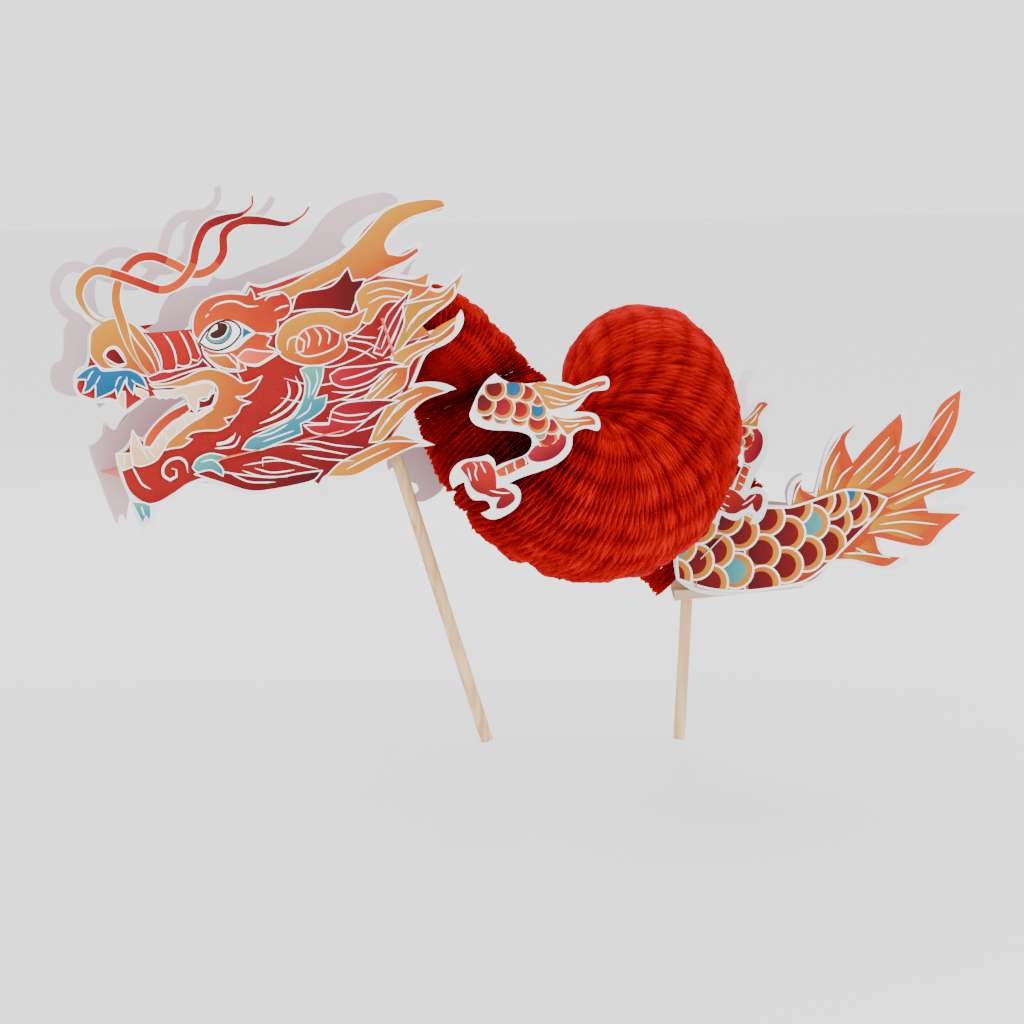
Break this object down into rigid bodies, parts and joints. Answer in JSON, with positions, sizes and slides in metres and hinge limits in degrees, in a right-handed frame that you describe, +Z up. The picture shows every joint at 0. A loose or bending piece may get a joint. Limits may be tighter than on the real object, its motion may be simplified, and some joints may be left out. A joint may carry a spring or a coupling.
{
  "type": "paper dragon puppet on sticks",
  "caption": "Paper dragon-dance puppet: printed card head, legs and tail on a red honeycomb-tissue body that folds and stretches between a head stick and a tail stick.",
  "frame": {"origin": "centre of the free bottom end of the head stick", "axes": "+X runs from the head to the tail, +Z is up, +Y is towards the dragon's own right side (right-handed)"},
  "size_m": [0.6563, 0.262, 0.386],
  "materials": {
    "printed_card": "satin, printed outside, unprinted grey-pink back",
    "coral_card": "satin",
    "plain_card": "matt",
    "kraft_card": "matt",
    "tissue": "matt, translucent",
    "stick_wood": "bare sanded",
    "foam_tape": "matt"
  },
  "bodies": {
    "head": {"head_panel_left": "printed_card", "head_panel_right": "printed_card", "mouth_floor": "coral_card", "head_stick": "stick_wood", "neck_bridge": "coral_card", "front_end_card": "plain_card", "tissue_section_1": "tissue"},
    "fold_2": {"tissue_section_2": "tissue", "front_leg_right": "printed_card", "front_leg_pad_right": "foam_tape"},
    "fold_3": {"tissue_section_3": "tissue", "front_leg_left": "printed_card", "front_leg_pad_left": "foam_tape"},
    "fold_4": {"tissue_section_4": "tissue"},
    "fold_5": {"tissue_section_5": "tissue"},
    "fold_6": {"tissue_section_6": "tissue"},
    "fold_7": {"tissue_section_7": "tissue"},
    "fold_8": {"tissue_section_8": "tissue"},
    "tail": {"tissue_section_9": "tissue", "rear_end_card": "plain_card", "tail_panel_left": "printed_card", "tail_panel_right": "printed_card", "tail_bridge": "coral_card", "tail_keel": "kraft_card", "tail_stick": "stick_wood", "rear_leg_left": "printed_card", "rear_leg_right": "printed_card", "rear_leg_pad_left": "foam_tape", "rear_leg_pad_right": "foam_tape"}
  },
  "joints": [
    {"name": "neck_nod", "type": "hinge", "parent": "head", "child": "fold_2", "pos_m": [-0.07003, -0.00675, 0.21503], "axis": [-0.1306, 0.9903, -0.047], "range_deg": [-5, 9]},
    {"name": "neck_stretch", "type": "slide", "parent": "fold_2", "child": "fold_3", "axis": [0.4099, -0.4271, -0.8059], "range_m": [-0.004, 0.016]},
    {"name": "low_bend_front", "type": "hinge", "parent": "fold_3", "child": "fold_4", "pos_m": [0.06558, 0.00295, 0.2121], "axis": [0.2218, -0.8932, 0.3912], "range_deg": [-4, 8]},
    {"name": "low_bend_rear", "type": "hinge", "parent": "fold_4", "child": "fold_5", "pos_m": [0.06562, -0.00793, 0.21369], "axis": [0.1796, -0.9546, 0.2375], "range_deg": [-4, 8]},
    {"name": "hump_sway", "type": "hinge", "parent": "fold_5", "child": "fold_6", "pos_m": [0.12714, 0.00722, 0.19409], "axis": [-0.6857, 0.6532, -0.3211], "range_deg": [-5, 5]},
    {"name": "hump_bend_front", "type": "hinge", "parent": "fold_6", "child": "fold_7", "pos_m": [0.15991, 0.05311, 0.15712], "axis": [-0.9037, 0.3066, -0.2989], "range_deg": [-4, 8]},
    {"name": "hump_bend_rear", "type": "hinge", "parent": "fold_7", "child": "fold_8", "pos_m": [0.16355, 0.05363, 0.15827], "axis": [-0.8994, 0.2742, -0.3404], "range_deg": [-4, 8]},
    {"name": "tail_stretch", "type": "slide", "parent": "fold_8", "child": "tail", "axis": [0.3046, -0.3923, -0.868], "range_m": [-0.0015, 0.014]}
  ]
}
